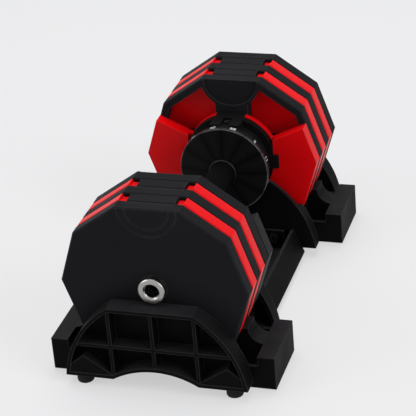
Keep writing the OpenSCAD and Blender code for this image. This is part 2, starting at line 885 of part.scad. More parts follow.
module cradle_head() {
    color(black) difference() {
        union() {
            // Outer end wall: flange, ribs and a closed web next to the plates.
            along_y(pocket_out_d, outer_wall_d) difference() {
                arch_wall();
                arch_cell();
            }
            along_y(pocket_out_d, pocket_out_d + shell_t) arch_wall();
            along_y(pocket_out_d, outer_wall_d - 1.5) intersection() {
                arch_wall();
                wall_ribs();
            }
            along_y(pocket_out_d, outer_wall_d - 0.8) intersection() {
                arch_wall();
                foot_gussets();
            }
            // Wall beside the hub: a flange on the side of the hand, and a rim below its shoulders.
            along_y(inner_wall_d, inner_wall_d + inner_flange_t) arch_wall();
            along_y(inner_wall_d, pocket_in_d) intersection() {
                arch_wall();
                union() {
                    difference() {
                        translate([-plate_w, -plate_h]) square([2 * plate_w, plate_h - side_top + 4]);
                        arch_cell();
                    }
                    difference() {
                        circle(r = hub_clear_r + shell_t, $fn = 128);
                        translate([-plate_w, -wall_drop - 8]) square([2 * plate_w, plate_h]);
                    }
                    intersection() {
                        wall_ribs();
                        translate([-plate_w, -plate_h]) square([2 * plate_w, plate_h - side_top + 4]);
                    }
                    for (s = [-1, 1]) translate([s * tray_bolt_x, -tray_bolt_drop]) circle(r = 8, $fn = 48);
                }
            }
            along_y(pocket_in_d, pocket_out_d) seat_section();
            bar_down(lock_d, post_r + 3.5, hub_clear_r + post_seat + 3, hub_clear_r + 1);
            for (s = [-1, 1]) translate([s * mount_x / 2, mount_y / 2, foot_h])
                cylinder(h = base_drop - plate_half - seat_gap - 1, r = insert_r + 3.5, $fn = 48);
            both_x() lug();
        }
        // Hub saddle, open at the top.
        along_y(inner_wall_d - 1, pocket_in_d + 1) {
            circle(r = hub_clear_r, $fn = 128);
            translate([-hub_clear_r, 0]) square([2 * hub_clear_r, plate_half]);
        }
        bar_down(lock_d, post_r + snug, hub_clear_r + post_seat, hub_clear_r - 5);
        for (s = [-1, 1]) translate([s * mount_x / 2, mount_y / 2, foot_h - 1])
            cylinder(h = insert_len + 1, r = insert_r + snug, $fn = 48);
        for (s = [-1, 1]) bar_y(s * tray_bolt_x, -tray_bolt_drop, tray_bolt_r + snug, inner_wall_d - 1, tray_bolt_end_d);
        for (s = [-1, 1]) translate([s * foot_x, foot_d, foot_h - 1])
            cylinder(h = foot_screw_len + 1, r = foot_screw_r + snug, $fn = 48);
    }
}

// Pins that push the lock pins up while the dumbbell rests in the cradle.
module release_posts() {
    color("#c8a13a") both_ends() bar_down(lock_d, post_r, hub_clear_r + post_seat - 0.1, lock_tip + 0.4);
}

// Half-width of the tray's sloping sides at a height above the axis (a negative one).
function tray_half(z) =
    let (rise = (z + axis_h - tray_low) / tray_h) (tray_base_w + (tray_top_w - tray_base_w) * rise) / 2;

// The tray's cross-section, set in from its sides and raised to the two heights.
module tray_section(inset, low, high) {
    polygon([
        [-tray_half(low) + inset, low], [tray_half(low) - inset, low],
        [tray_half(high) - inset, high], [-tray_half(high) + inset, high]
    ]);
}

// Tray with sloping sides that joins the two cradle heads.
module cradle_tray() {
    low = tray_low - axis_h;
    flange_low = low + 1;
    flange_top = low + tray_h - 1;
    flange_half = tray_bolt_x + 12;
    color(black) difference() {
        union() {
            along_y(-inner_wall_d, inner_wall_d) difference() {
                tray_section(0, low, low + tray_h);
                tray_section(tray_t, low + tray_t, low + tray_h + 1);
            }
            both_ends() along_y(inner_wall_d - tray_flange_t, inner_wall_d)
                translate([-flange_half, flange_low]) square([2 * flange_half, flange_top - flange_low]);
        }
        for (s = [-1, 1])
            bar_y(s * tray_bolt_x, -tray_bolt_drop, tray_bolt_r + snug, -inner_wall_d - 1, inner_wall_d + 1);
    }
}

module tray_bolts() {
    head_d = inner_wall_d - tray_flange_t;
    color("#4a4b4e") both_ends() for (s = [-1, 1]) difference() {
        union() {
            bar_y(s * tray_bolt_x, -tray_bolt_drop, tray_bolt_r, head_d - 1, tray_bolt_end_d - 0.2);
            bar_y(s * tray_bolt_x, -tray_bolt_drop, 5, head_d - 4.5, head_d);
        }
        bar_y(s * tray_bolt_x, -tray_bolt_drop, 2, head_d - 5, head_d - 2);
    }
}

module rubber_feet() {
    color("#101011") both_ends() both_x() translate([foot_x, foot_d, 0]) rotate_extrude($fn = 64) polygon([
        [5, 0], [foot_r - 1, 0], [foot_r, 1.5], [foot_r, foot_h], [foot_screw_r + snug, foot_h],
        [foot_screw_r + snug, foot_h / 2], [5, foot_h / 2]
    ]);
}

module foot_screws() {
    color("#9a9ca0") both_ends() both_x() translate([foot_x, foot_d, 0]) difference() {
        union() {
            translate([0, 0, foot_h / 2 - 1]) cylinder(h = foot_h / 2 + foot_screw_len, r = foot_screw_r, $fn = 48);
            translate([0, 0, foot_h / 2 - 2.5]) cylinder(h = 2.5, r = 4, $fn = 48);
        }
        translate([0, 0, foot_h / 2 - 3]) cylinder(h = 2, r = 1.3, $fn = 48);
    }
}

module mount_inserts() {
    color("#b08d3f") both_ends() both_x() translate([mount_x / 2, mount_y / 2, foot_h]) difference() {
        cylinder(h = insert_len, r = insert_r, $fn = 48);
        translate([0, 0, -1]) cylinder(h = insert_len + 2, r = mount_r, $fn = 48);
    }
}

front() cradle_head();  // cradle_head_front
cradle_head();  // cradle_head_rear
cradle_tray();
tray_bolts();
rubber_feet();
foot_screws();
mount_inserts();
release_posts();
front() end_block(black);  // end_block_front
end_block(red);  // end_block_rear
front() hub_housing();  // hub_housing_front
hub_housing();  // hub_housing_rear
housing_screws();
front() index_cover();  // index_cover_front
index_cover();  // index_cover_rear
index_screws();
core_tube();
tube_keys();
retaining_rings();
front() bearing();  // bearing_front
bearing();  // bearing_rear
detent_plungers();
front() plate(1);  // plate_1_front
front() plate(2);  // plate_2_front
front() plate(3);  // plate_3_front
front() plate(4);  // plate_4_front
front() plate(5);  // plate_5_front
plate(1);  // plate_1_rear
plate(2);  // plate_2_rear
plate(3);  // plate_3_rear
plate(4);  // plate_4_rear
plate(5);  // plate_5_rear
front() plate_bushes();  // plate_bushes_front
plate_bushes();  // plate_bushes_rear
grip();
grip_collars();
cam_sleeve();
front() flange_disc();  // flange_disc_front
flange_disc();  // flange_disc_rear
front() number_ring();  // number_ring_front
number_ring();  // number_ring_rear
ring_screws();
front() selector_rod();  // selector_rod_front
selector_rod();  // selector_rod_rear
front() follower_pin();  // follower_pin_front
follower_pin();  // follower_pin_rear
front() lock_pin();  // lock_pin_front
lock_pin();  // lock_pin_rear
front() lock_spring();  // lock_spring_front
lock_spring();  // lock_spring_rear
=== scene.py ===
# Adjustable dumbbell lying in its cradle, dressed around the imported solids.
# The handle lies along Y and its axis is AXIS_Z above the ground. Everything is in metres.
import math

import bmesh
import bpy
from mathutils import Matrix, Vector


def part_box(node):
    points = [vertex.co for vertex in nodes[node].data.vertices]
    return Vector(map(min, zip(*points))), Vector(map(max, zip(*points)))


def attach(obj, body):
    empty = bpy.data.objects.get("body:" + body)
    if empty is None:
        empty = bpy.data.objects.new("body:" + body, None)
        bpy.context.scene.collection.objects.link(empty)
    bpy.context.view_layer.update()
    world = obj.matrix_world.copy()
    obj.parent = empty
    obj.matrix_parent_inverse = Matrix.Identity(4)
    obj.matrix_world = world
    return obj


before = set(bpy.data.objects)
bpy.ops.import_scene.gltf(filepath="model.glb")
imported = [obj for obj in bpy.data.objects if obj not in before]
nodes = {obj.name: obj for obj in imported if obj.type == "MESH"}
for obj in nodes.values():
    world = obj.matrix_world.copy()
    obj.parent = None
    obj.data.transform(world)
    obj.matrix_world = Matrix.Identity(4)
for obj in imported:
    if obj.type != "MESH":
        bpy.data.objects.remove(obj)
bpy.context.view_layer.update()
AXIS_Z = sum(corner.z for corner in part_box("core_tube")) / 2
ENDS = {"front": -1, "rear": 1}


# ---- Black weight plates ----
# Three steel plates at each end, machined on the rims and coated with a satin black
# powder paint with a fine orange peel, its edges painted paler as wear and as a painted highlight.

SOCKET_KINDS = {"value": "NodeSocketFloat", "colour": "NodeSocketColor", "normal": "NodeSocketVector"}
WELD_DISTANCE = 1e-6
SHARP_ANGLE = math.radians(28)
NORMAL_WEIGHT = 80
EDGE_BREAK_UP = 90.0


def tint(red, green, blue):
    """The linear colour of a paint given in 0-255 steps."""
    steps = [value / 255 for value in (red, green, blue)]
    return tuple(s / 12.92 if s <= 0.04045 else ((s + 0.055) / 1.055) ** 2.4 for s in steps)


def new_effect(label, inputs, outputs):
    """An empty node group with named sockets, and its input and output nodes."""
    tree = bpy.data.node_groups.new(label, "ShaderNodeTree")
    for name, kind in inputs:
        tree.interface.new_socket(name=name, in_out="INPUT", socket_type=SOCKET_KINDS[kind])
    for name, kind in outputs:
        tree.interface.new_socket(name=name, in_out="OUTPUT", socket_type=SOCKET_KINDS[kind])
    return tree, tree.nodes.new("NodeGroupInput"), tree.nodes.new("NodeGroupOutput")


def math_node(tree, operation, first, second=None, clamp=False):
    """The result of a Math node fed with sockets or plain numbers."""
    node = tree.nodes.new("ShaderNodeMath")
    node.operation = operation
    node.use_clamp = clamp
    for socket, value in zip(node.inputs, (first, second)):
        if value is None:
            continue
        if isinstance(value, (int, float)):
            socket.default_value = value
        else:
            tree.links.new(value, socket)
    return node.outputs[0]


def own_place(tree):
    """The X, Y and Z of a point in the piece's own coordinates."""
    parts = tree.nodes.new("ShaderNodeSeparateXYZ")
    tree.links.new(tree.nodes.new("ShaderNodeTexCoord").outputs["Object"], parts.inputs[0])
    return parts.outputs


def noise_node(tree, scale, detail):
    """Noise over the piece's own coordinates, whose scale is a number or a socket."""
    noise = tree.nodes.new("ShaderNodeTexNoise")
    noise.inputs["Detail"].default_value = detail
    tree.links.new(tree.nodes.new("ShaderNodeTexCoord").outputs["Object"], noise.inputs["Vector"])
    if isinstance(scale, (int, float)):
        noise.inputs["Scale"].default_value = scale
    else:
        tree.links.new(scale, noise.inputs["Scale"])
    return noise.outputs["Fac"]


def bump_node(tree, height, depth):
    """The normal of a surface with a height on it, whose depth is a number or a socket."""
    bump = tree.nodes.new("ShaderNodeBump")
    if isinstance(depth, (int, float)):
        bump.inputs["Distance"].default_value = depth
    else:
        tree.links.new(depth, bump.inputs["Distance"])
    tree.links.new(height, bump.inputs["Height"])
    return bump.outputs["Normal"]


def lightened(tree, colour, factor):
    """A colour with its lightness multiplied by a factor."""
    shade = tree.nodes.new("ShaderNodeHueSaturation")
    tree.links.new(colour, shade.inputs["Color"])
    tree.links.new(factor, shade.inputs["Value"])
    return shade.outputs["Color"]


def blended(tree, share, colour, other):
    """A colour and the share of another laid over it. The other is a socket or a plain colour."""
    blend = tree.nodes.new("ShaderNodeMix")
    blend.data_type = "RGBA"
    tree.links.new(share, blend.inputs["Factor"])
    tree.links.new(colour, blend.inputs["A"])
    if isinstance(other, tuple):
        blend.inputs["B"].default_value = (*other, 1)
    else:
        tree.links.new(other, blend.inputs["B"])
    return blend.outputs["Result"]


# Fine bumps of a coat or a moulded skin.
skin_grain, given, result = new_effect(
    "skin_grain", [("Scale", "value"), ("Depth", "value")], [("Normal", "normal")])
grain = noise_node(skin_grain, given.outputs["Scale"], detail=4.0)
skin_grain.links.new(bump_node(skin_grain, grain, given.outputs["Depth"]), result.inputs["Normal"])

# Slow drift of a colour in lightness over the surface, up and down from 1.
tone_drift, given, result = new_effect(
    "tone_drift", [("Colour", "colour"), ("Scale", "value"), ("Amount", "value")], [("Colour", "colour")])
swing = math_node(tone_drift, "SUBTRACT", noise_node(tone_drift, given.outputs["Scale"], detail=5.0), 0.5)
swing = math_node(tone_drift, "MULTIPLY", swing, given.outputs["Amount"])
drifted = lightened(tone_drift, given.outputs["Colour"], math_node(tone_drift, "ADD", swing, 1.0))
tone_drift.links.new(drifted, result.inputs["Colour"])

# Mask of the edges that hands and other pieces wear, and where a painted highlight lies:
# the surface beside an edge is where a rounded normal turns away from the flat one.
worn_and_highlit_edges, given, result = new_effect(
    "worn_and_highlit_edges", [("Radius", "value"), ("Break up", "value"), ("Reach", "value")], [("Mask", "value")])
rounded = worn_and_highlit_edges.nodes.new("ShaderNodeBevel")
rounded.samples = 4
worn_and_highlit_edges.links.new(given.outputs["Radius"], rounded.inputs["Radius"])
flat = worn_and_highlit_edges.nodes.new("ShaderNodeNewGeometry")
angle = worn_and_highlit_edges.nodes.new("ShaderNodeVectorMath")
angle.operation = "DOT_PRODUCT"
worn_and_highlit_edges.links.new(rounded.outputs["Normal"], angle.inputs[0])
worn_and_highlit_edges.links.new(flat.outputs["Normal"], angle.inputs[1])
turn = math_node(worn_and_highlit_edges, "SUBTRACT", 1.0, angle.outputs["Value"])
turn = math_node(worn_and_highlit_edges, "MULTIPLY", turn, given.outputs["Reach"])
patches = noise_node(worn_and_highlit_edges, given.outputs["Break up"], detail=3.0)
patches = math_node(worn_and_highlit_edges, "MULTIPLY", patches, 2.0)
mask = math_node(worn_and_highlit_edges, "MULTIPLY", turn, patches, clamp=True)
worn_and_highlit_edges.links.new(mask, result.inputs["Mask"])

# Roughness that changes where a surface is handled. Most of the noise lies between 0.32 and 0.68.
hand_marks, given, result = new_effect(
    "hand_marks", [("Low", "value"), ("High", "value"), ("Scale", "value")], [("Roughness", "value")])
spread = hand_marks.nodes.new("ShaderNodeMapRange")
hand_marks.links.new(noise_node(hand_marks, given.outputs["Scale"], detail=4.0), spread.inputs["Value"])
spread.inputs["From Min"].default_value = 0.32
spread.inputs["From Max"].default_value = 0.68
hand_marks.links.new(given.outputs["Low"], spread.inputs["To Min"])
hand_marks.links.new(given.outputs["High"], spread.inputs["To Max"])
hand_marks.links.new(spread.outputs["Result"], result.inputs["Roughness"])


def new_finish(label, colour, metallic=0.0, specular=0.5):
    """A material, its tree and its shader, named for the finish."""
    finish = bpy.data.materials.new(label)
    finish.use_nodes = True
    tree = finish.node_tree
    shader = tree.nodes["Principled BSDF"]
    shader.inputs["Base Color"].default_value = (*colour, 1)
    shader.inputs["Metallic"].default_value = metallic
    shader.inputs["Specular IOR Level"].default_value = specular
    return finish, tree, shader


def add_effect(tree, effect, **values):
    """Places a shared effect in a material with the material's own values."""
    node = tree.nodes.new("ShaderNodeGroup")
    node.node_tree = effect
    for name, value in values.items():
        node.inputs[name.replace("_", " ")].default_value = value
    return node


def drift_colour(tree, shader, colour, scale, amount):
    """Colours a shader with a slow drift in lightness."""
    tone = add_effect(tree, tone_drift, Colour=(*colour, 1), Scale=scale, Amount=amount)
    tree.links.new(tone.outputs["Colour"], shader.inputs["Base Color"])


def mark_gloss(tree, shader, low, high, scale):
    """Gives a shader a roughness that wanders between low and high."""
    gloss = add_effect(tree, hand_marks, Low=low, High=high, Scale=scale)
    tree.links.new(gloss.outputs["Roughness"], shader.inputs["Roughness"])


def coated(label, colour, edge_colour, specular, tone, edge_band, gloss, skin):
    """A paint or a moulded skin, painted another colour on its edges: partly wear, partly a painted
    highlight.

    tone is the scale and the amount of the colour's drift, edge_band the radius and the reach of
    the paler edges, gloss the lowest and highest roughness and the scale of its marks, and
    skin the scale and the depth of the grain.
    """
    finish, tree, shader = new_finish(label, colour, specular=specular)
    drift_colour(tree, shader, colour, *tone)
    # Edge colour over the mask: wear, and a painted highlight along the edges.
    edges = add_effect(tree, worn_and_highlit_edges, Radius=edge_band[0], Break_up=EDGE_BREAK_UP, Reach=edge_band[1])
    plain_colour = shader.inputs["Base Color"].links[0].from_socket
    tree.links.new(blended(tree, edges.outputs["Mask"], plain_colour, edge_colour), shader.inputs["Base Color"])
    mark_gloss(tree, shader, *gloss)
    grain = add_effect(tree, skin_grain, Scale=skin[0], Depth=skin[1])
    tree.links.new(grain.outputs["Normal"], shader.inputs["Normal"])
    return finish


def overlay(finish, effect, **values):
    """Runs what colours a finish through one more effect."""
    tree = finish.node_tree
    colour = tree.nodes["Principled BSDF"].inputs["Base Color"]
    layer = add_effect(tree, effect, **values)
    tree.links.new(colour.links[0].from_socket, layer.inputs["Colour"])
    tree.links.new(layer.outputs["Colour"], colour)


def dress(names, finish, edge=0.0, segments=2):
    """Gives solids their finish and rounds their edges by the given width."""
    for name in names:
        piece = nodes[name]
        for index in range(len(piece.data.materials)):
            piece.data.materials[index] = finish
        if not edge:
            continue
        weld = piece.modifiers.new("Join", "WELD")
        weld.merge_threshold = WELD_DISTANCE
        round_off = piece.modifiers.new("Edges", "BEVEL")
        round_off.width = edge
        round_off.segments = segments
        round_off.limit_method = "ANGLE"
        round_off.angle_limit = SHARP_ANGLE
        round_off.use_clamp_overlap = True
        level = piece.modifiers.new("Faces", "WEIGHTED_NORMAL")
        level.keep_sharp = False
        level.weight = NORMAL_WEIGHT


powder_black = coated(
    "plate_powder_black", tint(32, 32, 34), edge_colour=tint(70, 70, 72), specular=0.02,
    tone=(14.0, 0.35), edge_band=(0.0014, 2.8), gloss=(0.42, 0.56, 22.0), skin=(1400.0, 0.00004))
dress([f"plate_{n}_{end}" for n in (1, 3, 5) for end in ENDS], powder_black, edge=0.0008)


# ---- Red weight plates ----
# Two steel plates at each end in a bright red enamel, open at the top round the
# black boss. The enamel is glossier than the powder paint.

enamel_red = coated(
    "plate_enamel_red", tint(240, 12, 20), edge_colour=tint(242, 48, 48), specular=0.1,
    tone=(11.0, 0.16), edge_band=(0.001, 1.2), gloss=(0.3, 0.42, 25.0), skin=(900.0, 0.00003))
dress([f"plate_{n}_{end}" for n in (2, 4) for end in ENDS], enamel_red, edge=0.0007)


# ---- Bushes of the plates ----
# Turned steel bushes pressed into every plate, the outermost standing proud as a
# bright ring. The lathe leaves fine circles on their faces.

lathe_lines, given, result = new_effect(
    "lathe_lines", [("Scale", "value"), ("Depth", "value")], [("Normal", "normal")])
place = own_place(lathe_lines)
height = math_node(lathe_lines, "SUBTRACT", place["Z"], AXIS_Z)
squares = [math_node(lathe_lines, "MULTIPLY", reach, reach) for reach in (place["X"], height)]
radius = math_node(lathe_lines, "SQRT", math_node(lathe_lines, "ADD", *squares))
along = lathe_lines.nodes.new("ShaderNodeCombineXYZ")
lathe_lines.links.new(radius, along.inputs["X"])
lathe_lines.links.new(place["Y"], along.inputs["Y"])
rings = lathe_lines.nodes.new("ShaderNodeTexNoise")
rings.inputs["Detail"].default_value = 5.0
lathe_lines.links.new(along.outputs["Vector"], rings.inputs["Vector"])
lathe_lines.links.new(given.outputs["Scale"], rings.inputs["Scale"])
lathe_lines.links.new(
    bump_node(lathe_lines, rings.outputs["Fac"], given.outputs["Depth"]), result.inputs["Normal"])


def turned_metal(label, colour, low, high):
    """A bare metal finish with lathe lines, whose roughness lies between low and high."""
    finish, tree, shader = new_finish(label, colour, metallic=1.0)
    drift_colour(tree, shader, colour, scale=60.0, amount=0.25)
    mark_gloss(tree, shader, low, high, scale=120.0)
    lines = add_effect(tree, lathe_lines, Scale=2400.0, Depth=0.00002)
    tree.links.new(lines.outputs["Normal"], shader.inputs["Normal"])
    return finish


turned_steel = turned_metal("bush_turned_steel", tint(164, 162, 160), low=0.2, high=0.34)
dress(["plate_bushes_front", "plate_bushes_rear"], turned_steel, edge=0.0003)


# ---- End blocks ----
# Cast steel end blocks that carry the plates: a round collar with two wings beside
# the hub. The rear one is painted red and the front one black, both with a satin skin.

block_red = coated(
    "block_satin_red", tint(232, 6, 14), edge_colour=tint(240, 56, 56), specular=0.1,
    tone=(9.0, 0.14), edge_band=(0.0014, 1.4), gloss=(0.34, 0.48, 20.0), skin=(1900.0, 0.00004))
dress(["end_block_rear"], block_red, edge=0.0016, segments=3)

block_black = coated(
    "block_satin_black", tint(22, 22, 23), edge_colour=tint(50, 50, 52), specular=0.06,
    tone=(9.0, 0.3), edge_band=(0.0014, 1.4), gloss=(0.4, 0.54, 20.0), skin=(1900.0, 0.00004))
dress(["end_block_front"], block_black, edge=0.0016, segments=3)


# ---- Hub housings, index covers and their screws ----
# Black moulded housings screwed to the end blocks, each with a cover on top whose
# notch shows the chosen number. The mould leaves a fine spark-eroded texture.

hub_black = coated(
    "hub_moulded_black", tint(16, 16, 17), edge_colour=tint(44, 44, 46), specular=0.1,
    tone=(30.0, 0.3), edge_band=(0.0008, 1.6), gloss=(0.4, 0.55, 45.0), skin=(2600.0, 0.00005))
dress([f"{piece}_{end}" for piece in ("hub_housing", "index_cover") for end in ENDS], hub_black, edge=0.0006)


def plated(label, colour, metallic, low, high):
    """The thin plating or oxide of a screw, whose roughness lies between low and high."""
    finish, tree, shader = new_finish(label, colour, metallic=metallic)
    drift_colour(tree, shader, colour, scale=300.0, amount=0.3)
    mark_gloss(tree, shader, low, high, scale=500.0)
    return finish


zinc = plated("screw_zinc", tint(170, 172, 176), metallic=1.0, low=0.3, high=0.5)
dress(["housing_screws", "ring_screws", "foot_screws"], zinc, edge=0.0002)
oxide = plated("screw_black_oxide", tint(46, 46, 50), metallic=0.8, low=0.35, high=0.5)
dress(["index_screws", "tray_bolts"], oxide, edge=0.0002)


# ---- Tube, keys, circlips, bearings and plungers ----
# The steel tube that joins the end blocks and the small parts that hold it and let
# the handle turn: ground steel, bronze bearings and bright spring plungers.

ground_steel = turned_metal("tube_ground_steel", tint(150, 152, 156), low=0.3, high=0.42)
dress(["core_tube", "tube_keys", "retaining_rings", "cam_sleeve"], ground_steel, edge=0.0002)
bronze = turned_metal("bearing_bronze", tint(176, 134, 72), low=0.32, high=0.46)
dress(["bearing_front", "bearing_rear"], bronze, edge=0.0002)
dress(["detent_plungers"], turned_steel)
for piece in ("follower_pin", "lock_pin", "lock_spring"):
    dress([f"{piece}_{end}" for end in ENDS], turned_steel)


# ---- Grip and its collars ----
# A dark rubber sleeve with a fine diamond pattern that the hand turns to choose the
# weight, between two dark metal collars.

DIAMONDS_PER_RADIAN = 24.0
DIAMONDS_PER_METRE = 1600.0
DIAMOND_DEPTH = 0.0004

rubber_grip, tree, shader = new_finish("grip_rubber", tint(11, 10, 10), specular=0.03)
drift_colour(tree, shader, tint(11, 10, 10), scale=40.0, amount=0.4)
mark_gloss(tree, shader, low=0.5, high=0.7, scale=60.0)
place = own_place(tree)
height = math_node(tree, "SUBTRACT", place["Z"], AXIS_Z)
around = math_node(tree, "MULTIPLY", math_node(tree, "ARCTAN2", place["X"], height), DIAMONDS_PER_RADIAN)
along = math_node(tree, "MULTIPLY", place["Y"], DIAMONDS_PER_METRE)
rise = math_node(tree, "ABSOLUTE", math_node(tree, "SINE", math_node(tree, "ADD", around, along)))
fall = math_node(tree, "ABSOLUTE", math_node(tree, "SINE", math_node(tree, "SUBTRACT", around, along)))
diamonds = math_node(tree, "MULTIPLY", rise, fall)
tree.links.new(bump_node(tree, diamonds, DIAMOND_DEPTH), shader.inputs["Normal"])
dress(["grip"], rubber_grip, edge=0.0004)

collar_metal = turned_metal("collar_dark_metal", tint(40, 40, 43), low=0.34, high=0.46)
dress(["grip_collars"], collar_metal, edge=0.0003)


# ---- Flange discs ----
# Gloss black discs at both ends of the grip, with twelve shallow facets towards the
# hand and a thin rim that catches the light, helped by a highlight painted on its edges.
# A painted shade makes each facet palest along its middle and darker towards its edges.

DISC_FACETS = 12
MEAN_FACET_SHADE = 0.6

# Painted shade: lightens each facet's colour along its middle and darkens it towards the facet's edges.
painted_facet_shade, given, result = new_effect(
    "painted_facet_shade", [("Colour", "colour"), ("Amount", "value")], [("Colour", "colour")])
place = own_place(painted_facet_shade)
height = math_node(painted_facet_shade, "SUBTRACT", place["Z"], AXIS_Z)
turn = math_node(painted_facet_shade, "ARCTAN2", place["X"], height)
turn = math_node(painted_facet_shade, "MULTIPLY", turn, DISC_FACETS / 2)
middle = math_node(painted_facet_shade, "ABSOLUTE", math_node(painted_facet_shade, "SINE", turn))
middle = math_node(painted_facet_shade, "POWER", middle, 0.5)
middle = math_node(painted_facet_shade, "SUBTRACT", middle, MEAN_FACET_SHADE)
middle = math_node(painted_facet_shade, "MULTIPLY", middle, given.outputs["Amount"])
facet_shaded = lightened(painted_facet_shade, given.outputs["Colour"], math_node(painted_facet_shade, "ADD", middle, 1.0))
painted_facet_shade.links.new(facet_shaded, result.inputs["Colour"])

# The disc's edge colour is about seven times as light as its black: mostly a painted highlight along the rim
# and edges, with a little wear.
disc_gloss = coated(
    "disc_gloss_black", tint(19, 19, 20), edge_colour=tint(132, 132, 134), specular=0.04,
    tone=(18.0, 0.3), edge_band=(0.0024, 3.0), gloss=(0.24, 0.34, 30.0), skin=(1500.0, 0.00001))
overlay(disc_gloss, painted_facet_shade, Amount=0.9)
dress(["flange_disc_front", "flange_disc_rear"], disc_gloss, edge=0.001, segments=3)


# ---- Number rings ----
# Satin black rings behind the discs, printed on the rim with the weight that each
# step of the handle gives: kilograms on one side of the notch and pounds on the other.

KILOGRAMS = [40, 33, 26, 19, 12, 5]
POUNDS = [88, 73, 57, 42, 26, 11]
STEP_TURN = math.radians(60)
LETTER_SIZE = 0.00702
LONGEST_EDGE = 0.0012
NUMBER_ASIDE = 0.012
NUMBER_BEHIND_DISC = 0.0036
PRINT_THICKNESS = 0.00012
PRINT_SUNK = 0.00004

ring_black = coated(
    "ring_satin_black", tint(16, 16, 17), edge_colour=tint(54, 54, 56), specular=0.15,
    tone=(30.0, 0.3), edge_band=(0.0006, 1.2), gloss=(0.36, 0.48, 40.0), skin=(2200.0, 0.00003))
dress(["number_ring_front", "number_ring_rear"], ring_black, edge=0.0005)

number_white, tree, shader = new_finish("number_print_white", tint(226, 226, 224), specular=0.3)
drift_colour(tree, shader, tint(226, 226, 224), scale=400.0, amount=0.25)
mark_gloss(tree, shader, low=0.4, high=0.6, scale=300.0)


def printed_number(value, centre_turn, ring_radius, ring_middle, side):
    """The thin print of a number, wrapped round the ring at a turn from the top."""
    words = bpy.data.curves.new("number", "FONT")
    words.body = str(value)
    words.size = LETTER_SIZE
    words.align_x = "CENTER"
    words.align_y = "CENTER"
    words.resolution_u = 3
    holder = bpy.data.objects.new("number", words)
    bpy.context.scene.collection.objects.link(holder)
    bpy.context.view_layer.update()
    flat = bpy.data.meshes.new_from_object(holder)
    shape = bmesh.new()
    shape.from_mesh(flat)
    long_edges = [edge for edge in shape.edges if edge.calc_length() > LONGEST_EDGE]
    bmesh.ops.subdivide_edges(shape, edges=long_edges, cuts=1)
    made = bmesh.ops.extrude_face_region(shape, geom=shape.faces[:])
    for vert in made["geom"]:
        if isinstance(vert, bmesh.types.BMVert):
            vert.co.z += PRINT_THICKNESS
    for vert in shape.verts:
        turn = centre_turn + side * vert.co.x / ring_radius
        reach = ring_radius - PRINT_SUNK + vert.co.z
        along = ring_middle + side * vert.co.y
        vert.co = Vector((reach * math.sin(turn), along, AXIS_Z + reach * math.cos(turn)))
    bmesh.ops.recalc_face_normals(shape, faces=shape.faces[:])
    bpy.data.objects.remove(holder)
    bpy.data.curves.remove(words)
    bpy.data.meshes.remove(flat)
    return shape


for end, side in ENDS.items():
    low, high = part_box(f"number_ring_{end}")
    ring_radius = (high.x - low.x) / 2
    disc_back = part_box(f"flange_disc_{end}")[1 if side > 0 else 0].y
    ring_middle = disc_back + side * NUMBER_BEHIND_DISC
    sheet = bpy.data.meshes.new(f"ring_numbers_{end}")
    whole = bmesh.new()
    for step, (kilos, pounds) in enumerate(zip(KILOGRAMS, POUNDS)):
        for value, aside in ((kilos, -1), (pounds, 1)):
            turn = -step * STEP_TURN + side * aside * NUMBER_ASIDE / ring_radius
            shape = printed_number(value, turn, ring_radius, ring_middle, side)
            piece = bpy.data.meshes.new("piece")
            shape.to_mesh(piece)
            shape.free()
            whole.from_mesh(piece)
            bpy.data.meshes.remove(piece)
    whole.to_mesh(sheet)
    whole.free()
    numbers = bpy.data.objects.new(f"ring_numbers_{end}", sheet)
    bpy.context.scene.collection.objects.link(numbers)
    sheet.materials.append(number_white)
    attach(numbers, "handle")


# ---- Selector rods ----
# Blackened steel rods that slide out of the tube and pick up the plates. Their hollow,
# chamfered ends sit deep inside the outer bushes.

rod_black = turned_metal("rod_blackened_steel", tint(44, 42, 42), low=0.34, high=0.48)
dress(["selector_rod_front", "selector_rod_rear"], rod_black, edge=0.0003)


# ---- Cradle ----
# Two black heads and a tray, moulded from a glass-filled nylon with a matt
# spark-eroded texture, ribbed below and bolted together. Their upward faces are painted
# paler, partly as settled dust and partly as painted light falling from above.

PALE_FROM_LEAN = 0.55
PALE_GROWTH = 2.2

# Upward-facing surfaces get a paler colour in patches: partly settled dust, partly painted light from above.
dust_and_painted_toplight, given, result = new_effect(
    "dust_and_painted_toplight", [("Colour", "colour"), ("Dust", "colour"), ("Amount", "value")], [("Colour", "colour")])
facing = dust_and_painted_toplight.nodes.new("ShaderNodeSeparateXYZ")
normal = dust_and_painted_toplight.nodes.new("ShaderNodeNewGeometry").outputs["Normal"]
dust_and_painted_toplight.links.new(normal, facing.inputs[0])
level_faces = math_node(dust_and_painted_toplight, "SUBTRACT", facing.outputs["Z"], PALE_FROM_LEAN)
level_faces = math_node(dust_and_painted_toplight, "MULTIPLY", level_faces, PALE_GROWTH, clamp=True)
patches = math_node(dust_and_painted_toplight, "ADD", noise_node(dust_and_painted_toplight, scale=70.0, detail=4.0), 0.5)
cover = math_node(dust_and_painted_toplight, "MULTIPLY", level_faces, patches)
cover = math_node(dust_and_painted_toplight, "MULTIPLY", cover, given.outputs["Amount"], clamp=True)
paled = blended(dust_and_painted_toplight, cover, given.outputs["Colour"], given.outputs["Dust"])
dust_and_painted_toplight.links.new(paled, result.inputs["Colour"])

cradle_nylon = coated(
    "cradle_matt_black", tint(11, 11, 12), edge_colour=tint(66, 66, 68), specular=0.04,
    tone=(12.0, 0.35), edge_band=(0.0016, 2.8), gloss=(0.5, 0.66, 16.0), skin=(2300.0, 0.00007))
# Painted light from above, with some dust, on the cradle's upward faces.
overlay(cradle_nylon, dust_and_painted_toplight, Dust=(*tint(50, 50, 52), 1), Amount=0.65)
dress(["cradle_head_front", "cradle_head_rear", "cradle_tray", "release_posts"], cradle_nylon, edge=0.0007)


